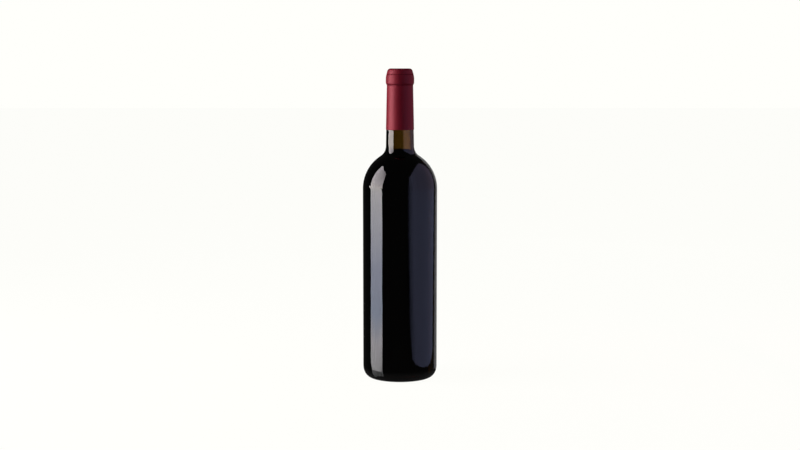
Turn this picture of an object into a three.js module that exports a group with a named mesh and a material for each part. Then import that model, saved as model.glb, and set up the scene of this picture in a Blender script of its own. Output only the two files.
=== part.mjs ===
// A wine bottle of 750 ml with straight sides and high shoulders, in three pieces: the dark glass
// bottle, the wine that fills it up to the root of the neck, and the capsule shrunk over its mouth.
// Millimetres, +Z up. The origin is the middle of the foot, on the surface that the bottle stands on.
import * as THREE from "three";

// Glass, from the foot to the shoulder
const BODY_RADIUS = 37.25;
const WALL = 3;
const HEEL_WIDTH = 8.3; // how far the rounded heel reaches in from the side
const HEEL_HEIGHT = 11.5;
const PUNT_DEPTH = 18; // the dome pressed up into the foot
const PUNT_MOUTH_RADIUS = 24;
const FOOT_EDGE_RADIUS = 2.5; // between the punt and the flat ring that the bottle stands on
const BASE_THICKNESS = 4.5; // glass over the punt
const VALLEY_RADIUS = 4.5; // the groove inside, between the wall and the punt
const SIDE_TOP = 191.3; // where the straight side ends
const SHOULDER_RADIUS = 39;

// Glass, from the shoulder to the mouth
const NECK_RADIUS = 14.1; // at its root
const NECK_ROOT_FILLET = 11.7;
const NECK_TAPER = 0.0215; // radius lost for each millimetre of height
const RING_RADIUS = 13.85; // the raised ring round the mouth
const RING_FOOT = 293.7; // where the neck starts to swell into the ring
const RING_SWELL = 3.7; // height of that swelling
const RING_SIDE = 3.1; // height of the ring's upright side
const RING_CROWN_RADIUS = 17; // above it the ring leans in
const RING_LEAN = 15; // degrees
const MOUTH_EDGE_RADIUS = 3;
const MOUTH_EDGE_END = 75; // degrees, where the edge's round turns into the lip
const MOUTH_TOP = 310.7;
const BORE_RADIUS = 9.25;

// Wine
const WINE_LEVEL = 230.5;
const WINE_CLEARANCE = 0.3;

// Capsule
const CAPSULE_FOOT = 250.4;
const CAPSULE_CLEARANCE = 0.1;
const CAPSULE_THICKNESS = 0.2;

const SIDES = 48;
const { degToRad, radToDeg } = THREE.MathUtils;

// The punt is part of a sphere, and the foot's edge touches both it and the surface below.
const puntSphere = (PUNT_MOUTH_RADIUS ** 2 + PUNT_DEPTH ** 2) / (2 * PUNT_DEPTH);
const puntCentre = PUNT_DEPTH - puntSphere;
const footEdgeLift = FOOT_EDGE_RADIUS - puntCentre;
const footEdge = Math.sqrt((puntSphere + FOOT_EDGE_RADIUS) ** 2 - footEdgeLift ** 2);
const puntRim = radToDeg(Math.atan2(footEdgeLift, footEdge));

// The shoulder's arc runs into the fillet at the root of the neck without a corner.
const shoulderCentre = BODY_RADIUS - SHOULDER_RADIUS;
const rootCentre = NECK_RADIUS + NECK_ROOT_FILLET;
const arcsApart = SHOULDER_RADIUS + NECK_ROOT_FILLET;
const shoulderTurn = radToDeg(Math.acos((rootCentre - shoulderCentre) / arcsApart));
const neckFoot = SIDE_TOP + arcsApart * Math.sin(degToRad(shoulderTurn));

// Points along an arc about (r, z), between two angles in degrees: 0 points away from the bottle's
// axis and 90 points up. An ellipse has an upright radius of its own.
function arc(r, z, radius, from, to, steps, upright = radius) {
  const curve = new THREE.EllipseCurve(r, z, radius, upright, degToRad(from), degToRad(to), to < from);
  return curve.getPoints(steps);
}

function point(r, z) {
  return new THREE.Vector2(r, z);
}

function neckRadiusAt(z) {
  return NECK_RADIUS - NECK_TAPER * (z - neckFoot);
}

// The underside, from the top of the punt out to the heel and up to the side
function footOutline() {
  return [
    ...arc(0, puntCentre, puntSphere, 90, puntRim, 6),
    ...arc(footEdge, FOOT_EDGE_RADIUS, FOOT_EDGE_RADIUS, 180 + puntRim, 270, 3),
    ...arc(BODY_RADIUS - HEEL_WIDTH, HEEL_HEIGHT, HEEL_WIDTH, -90, 0, 6, HEEL_HEIGHT),
  ];
}

// The outside of the shoulder, up to the root of the neck
function shoulderOutline() {
  return [
    ...arc(shoulderCentre, SIDE_TOP, SHOULDER_RADIUS, 0, shoulderTurn, 10),
    ...arc(rootCentre, neckFoot, NECK_ROOT_FILLET, 180 + shoulderTurn, 180, 6),
  ];
}

// The outside of the neck and its ring, upwards from a height, grown outwards by a distance.
// The mouth's edge is rounded as far as edgeEnd.
function neckOutline(from, grown, edgeEnd) {
  const neckRadius = neckRadiusAt(RING_FOOT);
  const step = RING_RADIUS - neckRadius;
  const swellRadius = (RING_SWELL ** 2 + step ** 2) / (4 * step);
  const swellTurn = 2 * radToDeg(Math.atan2(step, RING_SWELL));
  const sideFoot = RING_FOOT + RING_SWELL;
  const sideTop = sideFoot + RING_SIDE;
  const edgeHeight = MOUTH_TOP - MOUTH_EDGE_RADIUS;
  const lean = degToRad(RING_LEAN);
  const crownTop = sideTop + RING_CROWN_RADIUS * Math.sin(lean);
  const crownEnd = RING_RADIUS - RING_CROWN_RADIUS * (1 - Math.cos(lean));
  const edgeStart = edgeHeight + MOUTH_EDGE_RADIUS * Math.sin(lean);
  const edgeRadius = crownEnd - (edgeStart - crownTop) * Math.tan(lean);
  const edgeCentre = edgeRadius - MOUTH_EDGE_RADIUS * Math.cos(lean);
  return [
    point(neckRadiusAt(from) + grown, from),
    ...arc(neckRadius + swellRadius, RING_FOOT, swellRadius - grown, 180, 180 - swellTurn, 2),
    ...arc(RING_RADIUS - swellRadius, sideFoot, swellRadius + grown, -swellTurn, 0, 2),
    ...arc(RING_RADIUS - RING_CROWN_RADIUS, sideTop, RING_CROWN_RADIUS + grown, 0, RING_LEAN, 2),
    ...arc(edgeCentre, edgeHeight, MOUTH_EDGE_RADIUS + grown, RING_LEAN, edgeEnd, 3),
  ];
}

// The lip, rounded from the mouth's edge down into the bore
function lipOutline(mouthEdge) {
  const lipRadius = mouthEdge.x - BORE_RADIUS;
  return arc(mouthEdge.x, mouthEdge.y - lipRadius, lipRadius, 90, 180, 2);
}

// The inside of the bottle from a height at the root of the neck down to the middle of its floor,
// drawn in from the glass by a distance
function cavityOutline(level, inset) {
  const root = NECK_ROOT_FILLET + WALL + inset;
  const rootTurn = 180 + radToDeg(Math.asin((neckFoot - level) / root));
  const side = BODY_RADIUS - WALL - inset;
  const valley = VALLEY_RADIUS - inset;
  const dome = puntSphere + BASE_THICKNESS + inset;
  const valleyCentre = side - valley;
  const valleyLift = Math.sqrt((dome + valley) ** 2 - valleyCentre ** 2);
  const domeRim = radToDeg(Math.atan2(valleyLift, valleyCentre));
  return [
    ...arc(rootCentre, neckFoot, root, rootTurn, 180 + shoulderTurn, 5),
    ...arc(shoulderCentre, SIDE_TOP, SHOULDER_RADIUS - WALL - inset, shoulderTurn, 0, 8),
    ...arc(valleyCentre, puntCentre + valleyLift, valley, 0, domeRim - 180, 6),
    ...arc(0, puntCentre, dome, domeRim, 90, 5),
  ];
}

// Turns an outline round the bottle's axis. Points that repeat where two arcs meet are left out.
function turned(name, outline, material) {
  const distinct = outline.filter((p, i) => i === 0 || p.distanceTo(outline[i - 1]) > 1e-6);
  const geometry = new THREE.LatheGeometry(distinct, SIDES).rotateX(Math.PI / 2);
  const mesh = new THREE.Mesh(geometry, material);
  mesh.name = name;
  return mesh;
}

function makeBottle() {
  const neck = neckOutline(neckFoot, 0, MOUTH_EDGE_END);
  const outline = [
    ...footOutline(),
    ...shoulderOutline(),
    ...neck,
    ...lipOutline(neck.at(-1)),
    ...cavityOutline(neckFoot, 0),
  ];
  const darkGlass = new THREE.MeshStandardMaterial({ color: 0x16150c, roughness: 0.04, metalness: 0 });
  return turned("bottle", outline, darkGlass);
}

function makeWine() {
  const inside = cavityOutline(WINE_LEVEL, WINE_CLEARANCE).reverse();
  const outline = [...inside, point(0, WINE_LEVEL)];
  const redWine = new THREE.MeshStandardMaterial({ color: 0x2a0409, roughness: 0.05, metalness: 0 });
  return turned("wine", outline, redWine);
}

function makeCapsule() {
  const inside = neckOutline(CAPSULE_FOOT, CAPSULE_CLEARANCE, 90).reverse();
  const outside = neckOutline(CAPSULE_FOOT, CAPSULE_CLEARANCE + CAPSULE_THICKNESS, 90);
  const outline = [point(0, inside[0].y), ...inside, ...outside, point(0, outside.at(-1).y)];
  const redFilm = new THREE.MeshStandardMaterial({ color: 0x7d1022, roughness: 0.45, metalness: 0 });
  return turned("capsule", outline, redFilm);
}

const wineBottle = new THREE.Group();
wineBottle.add(makeBottle(), makeWine(), makeCapsule());

export default wineBottle;
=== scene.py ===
# A full bottle of red wine: dark glass, the wine inside it and a burgundy capsule over its mouth.
# Metres, +Z up, with the origin at the middle of the foot. The camera looks along +Y.
import math

import bpy
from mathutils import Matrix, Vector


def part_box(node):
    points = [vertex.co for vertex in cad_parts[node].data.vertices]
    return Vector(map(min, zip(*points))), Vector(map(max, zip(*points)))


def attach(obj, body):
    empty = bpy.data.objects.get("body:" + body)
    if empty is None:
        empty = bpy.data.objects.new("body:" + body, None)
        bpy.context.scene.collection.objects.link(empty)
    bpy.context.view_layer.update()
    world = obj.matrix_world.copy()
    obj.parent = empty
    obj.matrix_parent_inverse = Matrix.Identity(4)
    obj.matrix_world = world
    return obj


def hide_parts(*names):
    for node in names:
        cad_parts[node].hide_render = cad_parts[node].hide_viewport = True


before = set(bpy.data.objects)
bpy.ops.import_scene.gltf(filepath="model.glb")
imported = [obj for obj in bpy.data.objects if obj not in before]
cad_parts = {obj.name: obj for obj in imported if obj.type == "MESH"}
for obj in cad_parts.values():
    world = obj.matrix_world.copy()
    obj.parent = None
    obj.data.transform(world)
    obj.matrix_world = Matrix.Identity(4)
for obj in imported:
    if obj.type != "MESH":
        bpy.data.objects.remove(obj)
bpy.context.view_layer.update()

MM = 0.001

# Sizes taken from the frame
BODY_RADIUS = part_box("bottle")[1].x
WINE_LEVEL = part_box("wine")[1].z
CAPSULE_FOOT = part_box("capsule")[0].z
CAPSULE_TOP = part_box("capsule")[1].z

# Capsule: a thin film, creased under the ring and marked by a tear line above it
FILM_CLEARANCE = 0.05 * MM
FILM_THICKNESS = 0.25 * MM
CREASE_HEIGHT = 294.8 * MM
TEAR_LINE_HEIGHT = 305 * MM
GROOVE_DEPTH = 0.1 * MM
GROOVE_HALF_WIDTH = 0.45 * MM
TOP_PANEL_RADIUS = 8 * MM
TOP_PANEL_DEPTH = 0.25 * MM
TOP_PANEL_SLOPE = 0.5 * MM

# Glass, from the foot to the shoulder
WALL = 3 * MM
HEEL_WIDTH = 8.3 * MM
HEEL_HEIGHT = 11.5 * MM
PUNT_DEPTH = 18 * MM
PUNT_MOUTH_RADIUS = 24 * MM
FOOT_EDGE_RADIUS = 2.5 * MM
BASE_THICKNESS = 4.5 * MM
VALLEY_RADIUS = 4.5 * MM
SIDE_TOP = 191.3 * MM
SHOULDER_RADIUS = 39 * MM
KNURL_HEIGHT = 0.35 * MM  # short bars all round the ring that the bottle stands on
KNURL_MARGIN = 0.3 * MM

# Glass, from the shoulder to the mouth
NECK_RADIUS = 14.1 * MM
NECK_ROOT_FILLET = 11.7 * MM
NECK_TAPER = 0.0215
RING_RADIUS = 13.85 * MM
RING_FOOT = 293.7 * MM
RING_SWELL = 3.7 * MM
RING_SIDE = 3.1 * MM
RING_CROWN_RADIUS = 17 * MM
RING_LEAN = 15
MOUTH_EDGE_RADIUS = 3 * MM
MOUTH_EDGE_END = 75
MOUTH_TOP = CAPSULE_TOP - FILM_CLEARANCE - FILM_THICKNESS
BORE_RADIUS = 9.25 * MM

# Wine: it reaches into the wall, so that no air shows between it and the glass
WALL_REACH = 0.2 * MM
MENISCUS_RISE = 0.9 * MM  # the wine climbs to its level where it meets the glass
MENISCUS_WIDTH = 3 * MM

# Camera and floor
CAMERA_LENS = 63
CAMERA_SENSOR = 36
CAMERA_DISTANCE = 1.4
CAMERA_HEIGHT = 0.310
CAMERA_TILT = math.radians(6.34)  # downwards
FLOOR_SIZE = 20
PAPER_WHITE = (1, 1, 0.965, 1)

SIDES = 144
MERGE_DISTANCE = 0.001 * MM
SMOOTH_BELOW = math.radians(30)

# The punt is part of a sphere, and the foot's edge touches both it and the surface below.
PUNT_SPHERE = (PUNT_MOUTH_RADIUS**2 + PUNT_DEPTH**2) / (2 * PUNT_DEPTH)
PUNT_CENTRE = PUNT_DEPTH - PUNT_SPHERE
FOOT_EDGE_LIFT = FOOT_EDGE_RADIUS - PUNT_CENTRE
FOOT_EDGE = math.sqrt((PUNT_SPHERE + FOOT_EDGE_RADIUS) ** 2 - FOOT_EDGE_LIFT**2)
PUNT_RIM = math.degrees(math.atan2(FOOT_EDGE_LIFT, FOOT_EDGE))

# The shoulder's arc runs into the fillet at the root of the neck without a corner.
SHOULDER_CENTRE = BODY_RADIUS - SHOULDER_RADIUS
ROOT_CENTRE = NECK_RADIUS + NECK_ROOT_FILLET
ARCS_APART = SHOULDER_RADIUS + NECK_ROOT_FILLET
SHOULDER_TURN = math.degrees(math.acos((ROOT_CENTRE - SHOULDER_CENTRE) / ARCS_APART))
NECK_FOOT = SIDE_TOP + ARCS_APART * math.sin(math.radians(SHOULDER_TURN))


# Outlines: lists of (radius, height)
def arc(r, z, radius, start, end, steps, upright=None):
    """Points on an arc about (r, z), between two angles in degrees: 0 points outwards and 90 up."""
    upright = radius if upright is None else upright
    angles = [math.radians(start + (end - start) * i / steps) for i in range(steps + 1)]
    return [(r + radius * math.cos(a), z + upright * math.sin(a)) for a in angles]


def neck_radius_at(z):
    return NECK_RADIUS - NECK_TAPER * (z - NECK_FOOT)


def foot_outline():
    """The underside, from the top of the punt out to the heel and up to the side."""
    edge = arc(FOOT_EDGE, FOOT_EDGE_RADIUS, FOOT_EDGE_RADIUS, 180 + PUNT_RIM, 270, steps=8)
    heel_centre = BODY_RADIUS - HEEL_WIDTH
    heel = arc(heel_centre, HEEL_HEIGHT, HEEL_WIDTH, -90, 0, steps=24, upright=HEEL_HEIGHT)
    raised = [(r, max(z, KNURL_HEIGHT)) for r, z in edge + heel]
    return arc(0, PUNT_CENTRE, PUNT_SPHERE, 90, PUNT_RIM, steps=20) + raised


def shoulder_outline():
    """The outside of the shoulder, up to the root of the neck."""
    shoulder = arc(SHOULDER_CENTRE, SIDE_TOP, SHOULDER_RADIUS, 0, SHOULDER_TURN, steps=28)
    root = arc(ROOT_CENTRE, NECK_FOOT, NECK_ROOT_FILLET, 180 + SHOULDER_TURN, 180, steps=16)
    return shoulder + root


def neck_outline(start, grown, edge_end):
    """The outside of the neck and its ring, upwards from a height, grown outwards by a distance."""
    neck_radius = neck_radius_at(RING_FOOT)
    step = RING_RADIUS - neck_radius
    swell_radius = (RING_SWELL**2 + step**2) / (4 * step)
    swell_turn = 2 * math.degrees(math.atan2(step, RING_SWELL))
    side_foot = RING_FOOT + RING_SWELL
    side_top = side_foot + RING_SIDE
    edge_height = MOUTH_TOP - MOUTH_EDGE_RADIUS
    lean = math.radians(RING_LEAN)
    crown_top = side_top + RING_CROWN_RADIUS * math.sin(lean)
    crown_end = RING_RADIUS - RING_CROWN_RADIUS * (1 - math.cos(lean))
    edge_start = edge_height + MOUTH_EDGE_RADIUS * math.sin(lean)
    edge_radius = crown_end - (edge_start - crown_top) * math.tan(lean)
    edge_centre = edge_radius - MOUTH_EDGE_RADIUS * math.cos(lean)
    crown_centre = RING_RADIUS - RING_CROWN_RADIUS
    return (
        [(neck_radius_at(start) + grown, start)]
        + arc(neck_radius + swell_radius, RING_FOOT, swell_radius - grown, 180, 180 - swell_turn, steps=6)
        + arc(RING_RADIUS - swell_radius, side_foot, swell_radius + grown, -swell_turn, 0, steps=6)
        + arc(crown_centre, side_top, RING_CROWN_RADIUS + grown, 0, RING_LEAN, steps=6)
        + arc(edge_centre, edge_height, MOUTH_EDGE_RADIUS + grown, RING_LEAN, edge_end, steps=12)
    )


def lip_outline(mouth_edge):
    """The lip, rounded from the mouth's edge down into the bore."""
    r, z = mouth_edge
    lip_radius = r - BORE_RADIUS
    return arc(r, z - lip_radius, lip_radius, 90, 180, steps=8)


def cavity_outline(level, inset):
    """The inside, from a height at the root of the neck down to the middle of the floor, drawn in."""
    root = NECK_ROOT_FILLET + WALL + inset
    root_turn = 180 + math.degrees(math.asin((NECK_FOOT - level) / root))
    side = BODY_RADIUS - WALL - inset
    valley = VALLEY_RADIUS - inset
    dome = PUNT_SPHERE + BASE_THICKNESS + inset
    valley_centre = side - valley
    valley_lift = math.sqrt((dome + valley) ** 2 - valley_centre**2)
    dome_rim = math.degrees(math.atan2(valley_lift, valley_centre))
    return (
        arc(ROOT_CENTRE, NECK_FOOT, root, root_turn, 180 + SHOULDER_TURN, steps=16)
        + arc(SHOULDER_CENTRE, SIDE_TOP, SHOULDER_RADIUS - WALL - inset, SHOULDER_TURN, 0, steps=24)
        + arc(valley_centre, PUNT_CENTRE + valley_lift, valley, 0, dome_rim - 180, steps=16)
        + arc(0, PUNT_CENTRE, dome, dome_rim, 90, steps=16)
    )


def radius_at(outline, height):
    """Where a rising outline crosses a height."""
    for (r0, z0), (r1, z1) in zip(outline, outline[1:]):
        if z0 <= height < z1:
            return r0 + (r1 - r0) * (height - z0) / (z1 - z0)
    return outline[-1][0]


def grooved(outline, height):
    """The same rising outline with a small groove at a height."""
    low = height - GROOVE_HALF_WIDTH
    high = height + GROOVE_HALF_WIDTH
    groove = [
        (radius_at(outline, low), low),
        (radius_at(outline, height) - GROOVE_DEPTH, height),
        (radius_at(outline, high), high),
    ]
    below = [p for p in outline if p[1] < low]
    above = [p for p in outline if p[1] > high]
    return below + groove + above


# Modelling
def start_point(name):
    """A new mesh of one point at the origin, open in edit mode."""
    bpy.ops.object.select_all(action="DESELECT")
    bpy.ops.mesh.primitive_plane_add(size=MM)
    piece = bpy.context.object
    piece.name = name
    piece.data.name = name
    bpy.ops.object.mode_set(mode="EDIT")
    bpy.ops.mesh.select_mode(type="VERT")
    bpy.ops.mesh.select_all(action="SELECT")
    bpy.ops.mesh.merge(type="CENTER")
    return piece


def turned(name, outline):
    """Extrudes a point along an outline, and spins the line round the bottle's axis into a solid."""
    piece = start_point(name)
    r, z = outline[0]
    bpy.ops.transform.translate(value=(r, 0, z))
    for (r0, z0), (r1, z1) in zip(outline, outline[1:]):
        if math.hypot(r1 - r0, z1 - z0) > MERGE_DISTANCE:
            move = (r1 - r0, 0, z1 - z0)
            bpy.ops.mesh.extrude_vertices_move(TRANSFORM_OT_translate={"value": move})
    bpy.ops.mesh.select_all(action="SELECT")
    bpy.ops.mesh.spin(steps=SIDES, angle=math.tau, center=(0, 0, 0), axis=(0, 0, 1))
    bpy.ops.mesh.select_all(action="SELECT")
    bpy.ops.mesh.remove_doubles(threshold=MERGE_DISTANCE)
    bpy.ops.mesh.normals_make_consistent(inside=False)
    bpy.ops.object.mode_set(mode="OBJECT")
    bpy.ops.object.shade_smooth_by_angle(angle=SMOOTH_BELOW)
    return piece


def select_faces(piece, wanted):
    """Selects the faces that a test on their centre picks, and opens the piece in edit mode."""
    bpy.ops.object.mode_set(mode="EDIT")
    bpy.ops.mesh.select_mode(type="FACE")
    bpy.ops.mesh.select_all(action="DESELECT")
    bpy.ops.object.mode_set(mode="OBJECT")
    for face in piece.data.polygons:
        face.select = wanted(face.center)
    bpy.ops.object.mode_set(mode="EDIT")


def on_knurl(centre):
    """Every second face of the flat ring under the foot."""
    radius = math.hypot(centre.x, centre.y)
    in_ring = FOOT_EDGE < radius < BODY_RADIUS - HEEL_WIDTH
    is_flat = abs(centre.z - KNURL_HEIGHT) < MERGE_DISTANCE
    place = math.floor(math.atan2(centre.y, centre.x) / math.tau * SIDES)
    return in_ring and is_flat and place % 2 == 0


def make_glass():
    neck = neck_outline(NECK_FOOT, 0, MOUTH_EDGE_END)
    outline = foot_outline() + shoulder_outline() + neck + lip_outline(neck[-1])
    glass = turned("glass_bottle", outline + cavity_outline(NECK_FOOT, 0))
    select_faces(glass, on_knurl)
    bpy.ops.mesh.inset(thickness=KNURL_MARGIN, use_individual=True)
    bpy.ops.transform.translate(value=(0, 0, -KNURL_HEIGHT))
    bpy.ops.object.mode_set(mode="OBJECT")
    return glass


def make_wine():
    inside = cavity_outline(WINE_LEVEL, -WALL_REACH)[::-1]
    wall = inside[-1][0]
    surface = WINE_LEVEL - MENISCUS_RISE
    steps = 10
    curl = 2.5  # how sharply the wine turns up at the glass
    meniscus = [
        (wall - MENISCUS_WIDTH * i / steps, surface + MENISCUS_RISE * (1 - i / steps) ** curl)
        for i in range(steps + 1)
    ]
    return turned("red_wine", inside + meniscus + [(0, surface)])


def make_capsule():
    inside = neck_outline(CAPSULE_FOOT, FILM_CLEARANCE, 90)
    outside = neck_outline(CAPSULE_FOOT, FILM_CLEARANCE + FILM_THICKNESS, 90)
    top = outside[-1][1]
    ceiling = inside[-1][1]
    for height in (CREASE_HEIGHT, TEAR_LINE_HEIGHT):
        outside = grooved(outside, height)
    slope_end = TOP_PANEL_RADIUS + TOP_PANEL_SLOPE
    outline = [(0, ceiling - TOP_PANEL_DEPTH), (TOP_PANEL_RADIUS, ceiling - TOP_PANEL_DEPTH)]
    outline += [(slope_end, ceiling)] + inside[::-1] + outside
    floor = top - TOP_PANEL_DEPTH
    outline += [(slope_end + TOP_PANEL_SLOPE, top), (slope_end, top), (TOP_PANEL_RADIUS, floor)]
    outline += [(TOP_PANEL_RADIUS - TOP_PANEL_SLOPE, floor), (0, floor)]
    return turned("capsule_film", outline)


# Materials
# Places of the colour sockets on a Mix node
MIX_FIRST = 6
MIX_SECOND = 7
MIX_RESULT = 2


def new_material(name):
    material = bpy.data.materials.new(name)
    material.use_nodes = True
    tree = material.node_tree
    return material, tree, tree.nodes["Principled BSDF"]


def add_node(tree, kind, **settings):
    """A node with its properties and its unlinked inputs set by name."""
    node = tree.nodes.new(kind)
    for name, value in settings.items():
        key = name.replace("_", " ").title()
        if key in node.inputs:
            node.inputs[key].default_value = value
        else:
            setattr(node, name, value)
    return node


def object_noise(tree, stretch, scale, detail):
    """Noise on the piece's own coordinates, stretched along its axes."""
    place = tree.nodes.new("ShaderNodeTexCoord")
    mapping = add_node(tree, "ShaderNodeMapping", scale=stretch)
    noise = add_node(tree, "ShaderNodeTexNoise", scale=scale, detail=detail)
    tree.links.new(place.outputs["Object"], mapping.inputs["Vector"])
    tree.links.new(mapping.outputs["Vector"], noise.inputs["Vector"])
    return noise.outputs["Fac"]


def add_math(tree, operation, *values):
    """The result of a math node. Each value is a number or the output of another node."""
    node = add_node(tree, "ShaderNodeMath", operation=operation)
    for socket, value in zip(node.inputs, values):
        if isinstance(value, (int, float)):
            socket.default_value = value
        else:
            tree.links.new(value, socket)
    return node.outputs["Value"]


def add_bump(tree, shader, height, distance, strength):
    bump = add_node(tree, "ShaderNodeBump", distance=distance, strength=strength)
    tree.links.new(height, bump.inputs["Height"])
    tree.links.new(bump.outputs["Normal"], shader.inputs["Normal"])


def fill_with(tree, colour, density):
    """Light is absorbed inside the piece."""
    inside = add_node(tree, "ShaderNodeVolumeAbsorption", color=colour, density=density)
    tree.links.new(inside.outputs["Volume"], tree.nodes["Material Output"].inputs["Volume"])


def dark_glass():
    """Thick olive-black bottle glass with the slow waves of a blown wall."""
    material, tree, shader = new_material("dark_glass")
    shader.inputs["Base Color"].default_value = (1, 1, 1, 1)
    shader.inputs["Transmission Weight"].default_value = 1
    shader.inputs["Roughness"].default_value = 0.01
    shader.inputs["IOR"].default_value = 1.52
    fill_with(tree, colour=(0.55, 0.45, 0.0, 1), density=1262)
    waves = object_noise(tree, stretch=(1, 1, 0.25), scale=40, detail=0)
    add_bump(tree, shader, waves, distance=0.1 * MM, strength=0.08)
    return material


def red_wine():
    """Red wine, nearly black where it is thick."""
    material, tree, shader = new_material("red_wine")
    shader.inputs["Base Color"].default_value = (1, 1, 1, 1)
    shader.inputs["Transmission Weight"].default_value = 1
    shader.inputs["Roughness"].default_value = 0
    shader.inputs["IOR"].default_value = 1.34
    fill_with(tree, colour=(0.5, 0.0, 0.17, 1), density=600)
    return material


def height_lines(tree, heights, half_width):
    """1 in narrow level bands at the given heights on the piece, and 0 elsewhere."""
    place = tree.nodes.new("ShaderNodeTexCoord")
    split = tree.nodes.new("ShaderNodeSeparateXYZ")
    tree.links.new(place.outputs["Object"], split.inputs["Vector"])
    lines = 0
    for height in heights:
        band = add_math(tree, "COMPARE", split.outputs["Z"], height, half_width)
        lines = add_math(tree, "MAXIMUM", lines, band)
    return lines


def burgundy_film():
    """Satin lacquer over metal foil, with a fine grain, a slightly uneven red and dull grooves whose
    colour is darkened as painted shade.
    """
    material, tree, shader = new_material("burgundy_film")
    shader.inputs["Metallic"].default_value = 0.2
    shader.inputs["Specular IOR Level"].default_value = 0.25
    cloud = object_noise(tree, stretch=(1, 1, 0.5), scale=120, detail=3)
    shade = tree.nodes.new("ShaderNodeValToRGB")
    shade.color_ramp.elements[0].color = (0.165, 0.0056, 0.0155, 1)
    shade.color_ramp.elements[1].color = (0.2, 0.0068, 0.0185, 1)
    # Painted shade: the crease and tear-line grooves get a darker red than the film, standing in for the
    # shade and lost highlight in them.
    groove_shade = add_node(tree, "ShaderNodeMix", data_type="RGBA")
    groove_shade.inputs[MIX_SECOND].default_value = (0.13, 0.004, 0.012, 1)
    lines = height_lines(tree, (CREASE_HEIGHT, TEAR_LINE_HEIGHT), GROOVE_HALF_WIDTH)
    tree.links.new(cloud, shade.inputs["Fac"])
    tree.links.new(shade.outputs["Color"], groove_shade.inputs[MIX_FIRST])
    tree.links.new(lines, groove_shade.inputs["Factor"])
    tree.links.new(groove_shade.outputs[MIX_RESULT], shader.inputs["Base Color"])
    gloss = add_node(tree, "ShaderNodeMapRange")
    gloss.inputs["To Min"].default_value = 0.42
    gloss.inputs["To Max"].default_value = 0.5
    tree.links.new(cloud, gloss.inputs["Value"])
    dull_grooves = add_math(tree, "MAXIMUM", gloss.outputs["Result"], lines)
    tree.links.new(dull_grooves, shader.inputs["Roughness"])
    grain = object_noise(tree, stretch=(1, 1, 1), scale=2500, detail=2)
    add_bump(tree, shader, grain, distance=0.02 * MM, strength=0.4)
    return material


def finish_piece(piece, node, material):
    piece.data.materials.clear()
    piece.data.materials.append(material)
    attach(piece, "root")
    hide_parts(node)


# Studio
def add_panel(name, rows, mirrored=True):
    """A glowing sheet that the camera doesn't see. Each row has as many spots: points with colours.

    A sheet that isn't mirrored throws no shadow either.
    """
    bpy.ops.object.select_all(action="DESELECT")
    across = len(rows[0]) - 1
    bpy.ops.mesh.primitive_grid_add(x_subdivisions=across, y_subdivisions=len(rows) - 1, size=1)
    panel = bpy.context.object
    panel.name = name
    glow = panel.data.color_attributes.new("glow", "FLOAT_COLOR", "POINT")
    spots = [spot for row in rows for spot in row]
    for vertex, tint, (point, colour) in zip(panel.data.vertices, glow.data, spots):
        vertex.co = point
        tint.color = (*colour, 1)
    material = bpy.data.materials.new(name)
    material.use_nodes = True
    tree = material.node_tree
    tree.nodes.clear()
    tint = add_node(tree, "ShaderNodeAttribute", attribute_name="glow")
    light = tree.nodes.new("ShaderNodeEmission")
    output = tree.nodes.new("ShaderNodeOutputMaterial")
    tree.links.new(tint.outputs["Color"], light.inputs["Color"])
    tree.links.new(light.outputs["Emission"], output.inputs["Surface"])
    panel.data.materials.append(material)
    panel.visible_camera = False
    panel.visible_transmission = False
    panel.visible_glossy = mirrored
    panel.visible_shadow = mirrored


def add_floor():
    bpy.ops.object.select_all(action="DESELECT")
    bpy.ops.mesh.primitive_plane_add(size=FLOOR_SIZE)
    floor = bpy.context.object
    floor.name = "floor"
    material, _, shader = new_material("pale_floor")
    shader.inputs["Base Color"].default_value = (0.03, 0.03, 0.03, 1)
    shader.inputs["Roughness"].default_value = 1
    shader.inputs["Specular IOR Level"].default_value = 0
    shader.inputs["Emission Color"].default_value = PAPER_WHITE
    shader.inputs["Emission Strength"].default_value = 0.98
    floor.data.materials.append(material)
    floor.visible_glossy = False
    floor.visible_diffuse = False
    floor.visible_transmission = False


def pick_background(tree, fac, shown, otherwise):
    switch = tree.nodes.new("ShaderNodeMixShader")
    tree.links.new(fac, switch.inputs["Fac"])
    first, second = switch.inputs[1:]
    tree.links.new(otherwise, first)
    tree.links.new(shown, second)
    return switch.outputs["Shader"]


def direction(tree):
    """The way that a ray leaves the scene, split into X, Y and Z."""
    place = tree.nodes.new("ShaderNodeTexCoord")
    split = tree.nodes.new("ShaderNodeSeparateXYZ")
    tree.links.new(place.outputs["Generated"], split.inputs["Vector"])
    return split.outputs


def straight_through(tree, path):
    """1 for rays that came through the glass unmirrored, or mirrored once but on to the back right."""
    never = 0.5  # less than one mirroring
    far_back_right = 1.2  # X and Y of a direction, added up
    way = direction(tree)
    unmirrored = add_math(tree, "LESS_THAN", path.outputs["Glossy Depth"], never)
    x_and_y = add_math(tree, "ADD", way["X"], way["Y"])
    back_right = add_math(tree, "GREATER_THAN", x_and_y, far_back_right)
    either = add_math(tree, "MAXIMUM", unmirrored, back_right)
    return add_math(tree, "MULTIPLY", either, path.outputs["Is Transmission Ray"])


def graded_background(tree, axis, strength, changes):
    """A white background whose strength changes along an axis: from where, to where and by how much."""
    way = direction(tree)[axis]
    for start, end, change in changes:
        grade = add_node(tree, "ShaderNodeMapRange", from_min=start, from_max=end, to_max=change)
        tree.links.new(way, grade.inputs["Value"])
        strength = add_math(tree, "ADD", strength, grade.outputs["Result"])
    background = add_node(tree, "ShaderNodeBackground", color=(1, 1, 1, 1))
    tree.links.new(strength, background.inputs["Strength"])
    return background.outputs["Background"]


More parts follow.
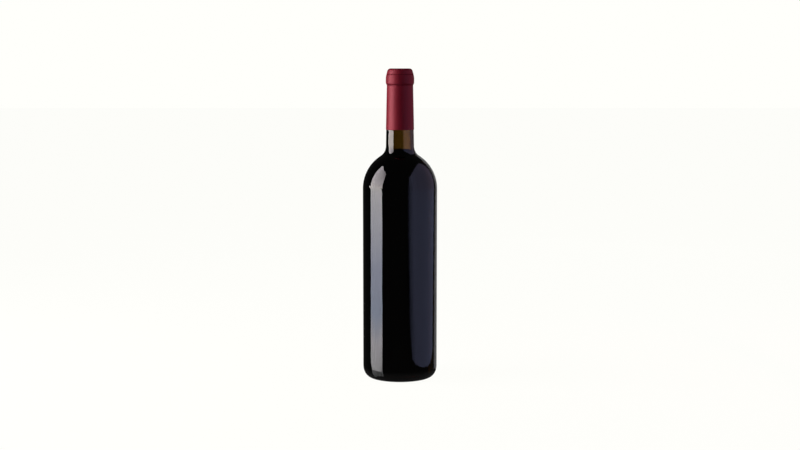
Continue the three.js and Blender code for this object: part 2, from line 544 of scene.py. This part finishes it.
def set_world():
    """White behind the bottle and through its glass, dark where its surfaces mirror the room."""
    world = bpy.data.worlds.new("studio")
    bpy.context.scene.world = world
    world.use_nodes = True
    tree = world.node_tree
    tree.nodes.clear()
    white = add_node(tree, "ShaderNodeBackground", color=PAPER_WHITE).outputs["Background"]
    fill = add_node(tree, "ShaderNodeBackground", color=(0.03, 0.03, 0.035, 1)).outputs["Background"]
    dimmer_upwards = [(-0.6, -0.2, -0.06)]
    mirrored = graded_background(tree, "Z", strength=0.08, changes=dimmer_upwards)
    brighter_right = [(0.042, 0.056, 1.5), (0.056, 0.14, 1.9), (0.3, 0.5, -1.9)]
    through = graded_background(tree, "X", strength=1.0, changes=brighter_right)
    path = tree.nodes.new("ShaderNodeLightPath")
    light = pick_background(tree, path.outputs["Is Diffuse Ray"], fill, mirrored)
    light = pick_background(tree, straight_through(tree, path), through, light)
    light = pick_background(tree, path.outputs["Is Camera Ray"], white, light)
    output = tree.nodes.new("ShaderNodeOutputWorld")
    tree.links.new(light, output.inputs["Surface"])


def add_camera():
    data = bpy.data.cameras.new("camera")
    data.lens = CAMERA_LENS
    data.sensor_width = CAMERA_SENSOR
    camera = bpy.data.objects.new("camera", data)
    camera.location = (0, -CAMERA_DISTANCE, CAMERA_HEIGHT)
    camera.rotation_euler = (math.pi / 2 - CAMERA_TILT, 0, 0)
    bpy.context.scene.collection.objects.link(camera)
    bpy.context.scene.camera = camera


def around(angle, distance, height):
    """A point at an angle from the camera's side of the bottle, left if negative, in degrees."""
    turn = math.radians(angle)
    return (distance * math.sin(turn), -distance * math.cos(turn), height)


def brighter(colour, share):
    return tuple(part * (1 + share) for part in colour)


def add_left_softbox():
    """The tall window-like light whose mirror image is the bright strip. Its top slants to the back."""
    # height, colour, how much brighter the front end is, angles of the back and the front end
    glow = [
        (-0.8, (0.6, 0.6, 0.61), 0, -113, -60),
        (-0.33, (0.9, 0.9, 0.91), 0, -99, -54.5),
        (-0.21, (1.3, 1.3, 1.32), 0, -97.5, -55),
        (-0.188, (2.0, 1.97, 2.0), 0.05, -97.5, -55.5),
        (-0.1835, (3.3, 3.22, 3.3), 0.08, -100, -56),
        (-0.178, (4.0, 3.9, 4.0), 0.08, -101.5, -56),
        (-0.168, (4.4, 4.3, 4.4), 0.1, -102.5, -56),
        (-0.13, (5.0, 4.8, 5.1), 0.14, -102, -55.5),
        (-0.08, (3.5, 3.9, 4.9), 0.14, -101.5, -55.5),
        (0.0, (4.0, 4.2, 5.2), 0.14, -101.5, -55.5),
        (0.1, (6.0, 5.9, 6.3), 0.16, -101.5, -55.5),
        (0.17, (7.2, 6.8, 6.8), 0.13, -102, -56),
        (0.182, (7.4, 6.95, 6.9), 0.12, -109.5, -60),
        (0.218, (7.8, 7.25, 7.0), 0.1, -109.5, -60),
        (0.23, (8.0, 7.4, 7.1), 0.1, -102, -56),
        (0.4, (6.8, 6.3, 6.5), -0.08, -101.5, -55),
        (0.7, (5.4, 5.0, 5.2), -0.25, -101.5, -54),
        (1.1, (4.2, 3.9, 4.1), -0.35, -101.5, -53.5),
    ]
    back_distance = 0.9
    front_distance = 0.88
    top = glow[-1][0]
    top_slant = 0.18
    rows = []
    for height, colour, share, back_angle, front_angle in glow:
        slant = top_slant * (max(height, 0) / top) ** 2
        back = (around(back_angle, back_distance, height + slant), brighter(colour, -share))
        front = (around(front_angle, front_distance, height - slant), brighter(colour, share))
        rows.append((back, front))
    add_panel("left_softbox", rows)


def straight_edge(depth, start, height, slope):
    """How high a panel's straight edge is at a depth. Its height is given where it starts."""
    return height + slope * (depth - start)


def panel_foot(depth):
    """The right panel's lower edge: a shallow bowl that drops to the front and ends in a steep back."""
    reach = 0.75
    level = -0.117
    drop = 0.072
    roundness = 1.55
    bowl = level - drop * (max(-depth, 0) / reach) ** roundness
    front = straight_edge(depth, start=-reach, height=-0.19, slope=-0.1)
    back = straight_edge(depth, start=0.355, height=-0.09, slope=2.2)
    return max(front, bowl, back)


def panel_top(depth):
    """The right panel's upper edge, which drops at both ends."""
    level = 0.97
    front = straight_edge(depth, start=-1.08, height=0.9, slope=2.8)
    back = straight_edge(depth, start=0.35, height=0.925, slope=-1.1)
    return min(level, front, back)


def within(value, low, high):
    """How far a value lies between two others, from 0 to 1."""
    return min(max((value - low) / (high - low), 0), 1)


def blend(first, second, share):
    return tuple(a + (b - a) * share for a, b in zip(first, second))


def panel_fade(depth, height):
    """The right panel's share of its light: its front end fades out, and leans back low down."""
    dark_end = -1.37
    bright_end = -0.67
    lean_below = 0.03
    lean_slope = 0.83
    lean = max(lean_below - height, 0) / lean_slope
    return within(depth, lean + dark_end, lean + bright_end)


def add_right_panel():
    """The dim blue wall on the right, whose back part is warmer above the bottle's shoulder."""
    side = 0.6
    front_end = -1.37
    back_end = 0.6
    front_colour = (0.48, 0.52, 0.86)
    low_back_colour = (0.3, 0.33, 0.54)
    high_back_colour = (0.285, 0.235, 0.356)
    cool_below = 0.12
    warm_above = 0.2
    steps = 60
    levels = 60
    rows = []
    for i in range(steps + 1):
        share = i / steps
        depth = front_end + (back_end - front_end) * share
        foot = panel_foot(depth)
        top = max(panel_top(depth), foot)
        row = []
        for j in range(levels + 1):
            height = foot + (top - foot) * j / levels
            back_colour = blend(low_back_colour, high_back_colour, within(height, cool_below, warm_above))
            colour = blend(front_colour, back_colour, share)
            row.append(((side, depth, height), blend((0, 0, 0), colour, panel_fade(depth, height))))
        rows.append(row)
    add_panel("right_panel", rows)


def add_back_strip():
    """A pale strip behind, which lines the edge of the glass. Its near edge leans away upwards."""
    dim = (0.3, 0.3, 0.31)
    pale = (0.44, 0.44, 0.44)
    distance = 1.2
    far_angle = 170
    near_edge = [(-0.3, 131.5), (-0.04, 135), (0.09, 141), (0.8, 146)]  # height and angle
    rows = []
    for height, near_angle in near_edge:
        near = (around(near_angle, distance, height), dim)
        far = (around(far_angle, distance, height), pale)
        rows.append((near, far))
    add_panel("back_strip", rows)


def add_warm_fill():
    """Soft warm light on the capsule's right side, which the glass doesn't mirror."""
    warm = (1.25, 0.5, 0.6)
    distance = 0.45
    angles = (72, 130)
    heights = (0.05, 0.6)
    rows = [[(around(angle, distance, height), warm) for angle in angles] for height in heights]
    add_panel("warm_fill", rows, mirrored=False)


add_camera()
finish_piece(make_glass(), "bottle", dark_glass())
finish_piece(make_wine(), "wine", red_wine())
finish_piece(make_capsule(), "capsule", burgundy_film())
set_world()
add_floor()
add_left_softbox()
add_right_panel()
add_back_strip()
add_warm_fill()
bpy.context.scene.view_settings.view_transform = "Standard"
